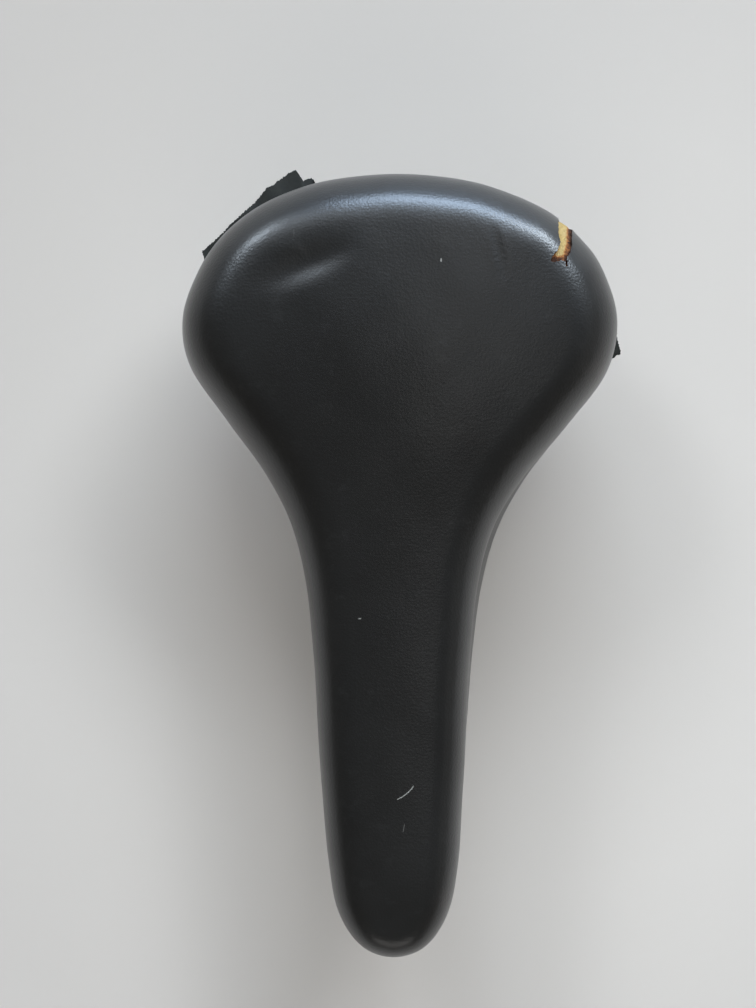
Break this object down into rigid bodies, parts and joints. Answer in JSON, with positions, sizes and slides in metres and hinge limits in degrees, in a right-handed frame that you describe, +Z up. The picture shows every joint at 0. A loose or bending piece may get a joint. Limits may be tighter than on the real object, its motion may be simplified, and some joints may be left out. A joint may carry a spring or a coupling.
{
  "type": "bicycle saddle",
  "caption": "Padded sport bicycle saddle with a vinyl cover over foam on a plastic base, round steel rails and a tilting, sliding rail clamp for a plain seat post.",
  "frame": {"origin": "on the axis of the seat post that the clamp grips, in the plane of the strap's lower edge; the cheeks that the saddle stands on reach 2 mm lower", "axes": "+Z up along the seat post, +Y towards the saddle's rear, -Y towards its nose, X across it"},
  "size_m": [0.15, 0.27, 0.0867],
  "materials": {
    "cover_vinyl": "satin",
    "foam": "matte",
    "base_plastic": "satin",
    "socket_plastic": "satin",
    "staple_steel": "satin",
    "screw_steel": "satin",
    "rail_steel": "polished",
    "clamp_steel": "satin",
    "fastener_steel": "satin"
  },
  "bodies": {
    "strap": {"post_strap": "clamp_steel"},
    "clamp": {"inner_cheek_left": "clamp_steel", "inner_cheek_right": "clamp_steel", "clamp_stud": "fastener_steel"},
    "left_jaw": {"outer_cheek_left": "clamp_steel", "washer_left": "fastener_steel"},
    "right_jaw": {"outer_cheek_right": "clamp_steel", "washer_right": "fastener_steel"},
    "left_nut": {"nut_left": "fastener_steel"},
    "right_nut": {"nut_right": "fastener_steel"},
    "saddle": {"cover": "cover_vinyl", "foam_pad": "foam", "base_shell": "base_plastic", "cover_staples": "staple_steel", "nose_socket": "socket_plastic", "nose_socket_screw": "screw_steel", "rear_socket_left": "socket_plastic", "rear_socket_right": "socket_plastic", "rear_screws_left": "screw_steel", "rear_screws_right": "screw_steel", "rail_left": "rail_steel", "rail_right": "rail_steel"}
  },
  "joints": [
    {"name": "clamp_tilt", "type": "hinge", "parent": "strap", "child": "clamp", "pos_m": [0, 0.021, 0.015], "axis": [1, 0, 0], "range_deg": [-20, 20]},
    {"name": "saddle_slide", "type": "slide", "parent": "clamp", "child": "saddle", "axis": [0, 1, 0], "range_m": [-0.016, 0.016]},
    {"name": "left_jaw_slide", "type": "slide", "parent": "clamp", "child": "left_jaw", "axis": [-1, 0, 0], "range_m": [0, 0.00124]},
    {"name": "right_jaw_slide", "type": "slide", "parent": "clamp", "child": "right_jaw", "axis": [1, 0, 0], "range_m": [0, 0.00124]},
    {"name": "left_nut_turn", "type": "hinge", "parent": "left_jaw", "child": "left_nut", "pos_m": [-0.034, 0.021, 0.015], "axis": [-1, 0, 0], "range_deg": [0, 360]},
    {"name": "right_nut_turn", "type": "hinge", "parent": "right_jaw", "child": "right_nut", "pos_m": [0.034, 0.021, 0.015], "axis": [1, 0, 0], "range_deg": [0, 360]}
  ],
  "couplings": [
    {"joint": "left_nut_turn", "follows": "left_jaw_slide", "rad_per_m": 5026.6},
    {"joint": "right_nut_turn", "follows": "right_jaw_slide", "rad_per_m": 5026.6}
  ]
}
